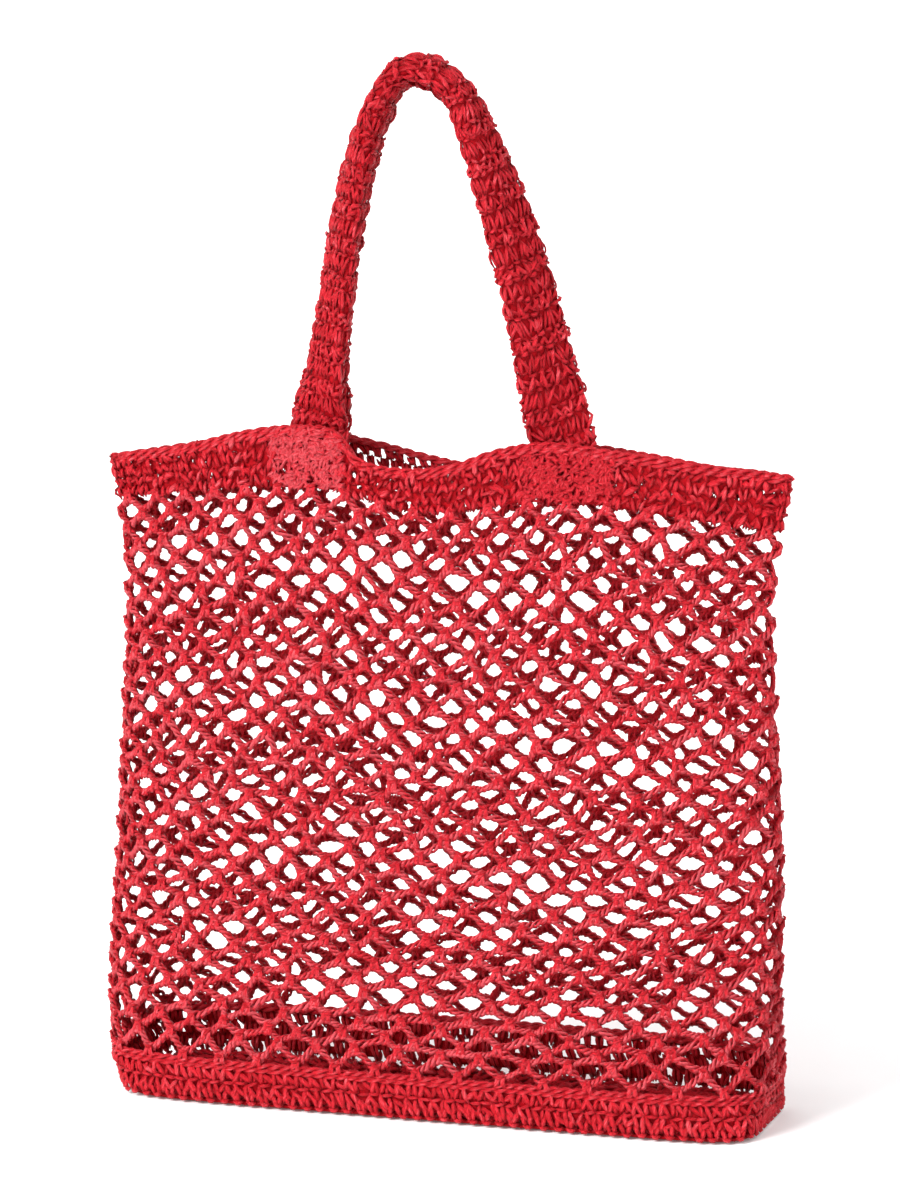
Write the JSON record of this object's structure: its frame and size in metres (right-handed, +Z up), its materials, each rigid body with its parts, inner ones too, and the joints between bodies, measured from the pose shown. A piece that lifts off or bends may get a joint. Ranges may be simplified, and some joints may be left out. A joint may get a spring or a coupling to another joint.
{
  "type": "tote bag",
  "caption": "Open-weave straw tote bag with a dense flat base, a net body, a dense rim band and two long strap handles.",
  "frame": {"origin": "on the floor under the middle of the bag's outline", "axes": "+X along the bag's width, to the right seen from the front, +Y towards the back, +Z up"},
  "size_m": [0.3917, 0.1082, 0.5796],
  "materials": {
    "straw": "satin"
  },
  "bodies": {
    "root": {"base_panel": "straw", "base_band": "straw", "net_body": "straw", "rim_band": "straw", "handle_front": "straw", "handle_back": "straw"}
  },
  "joints": []
}
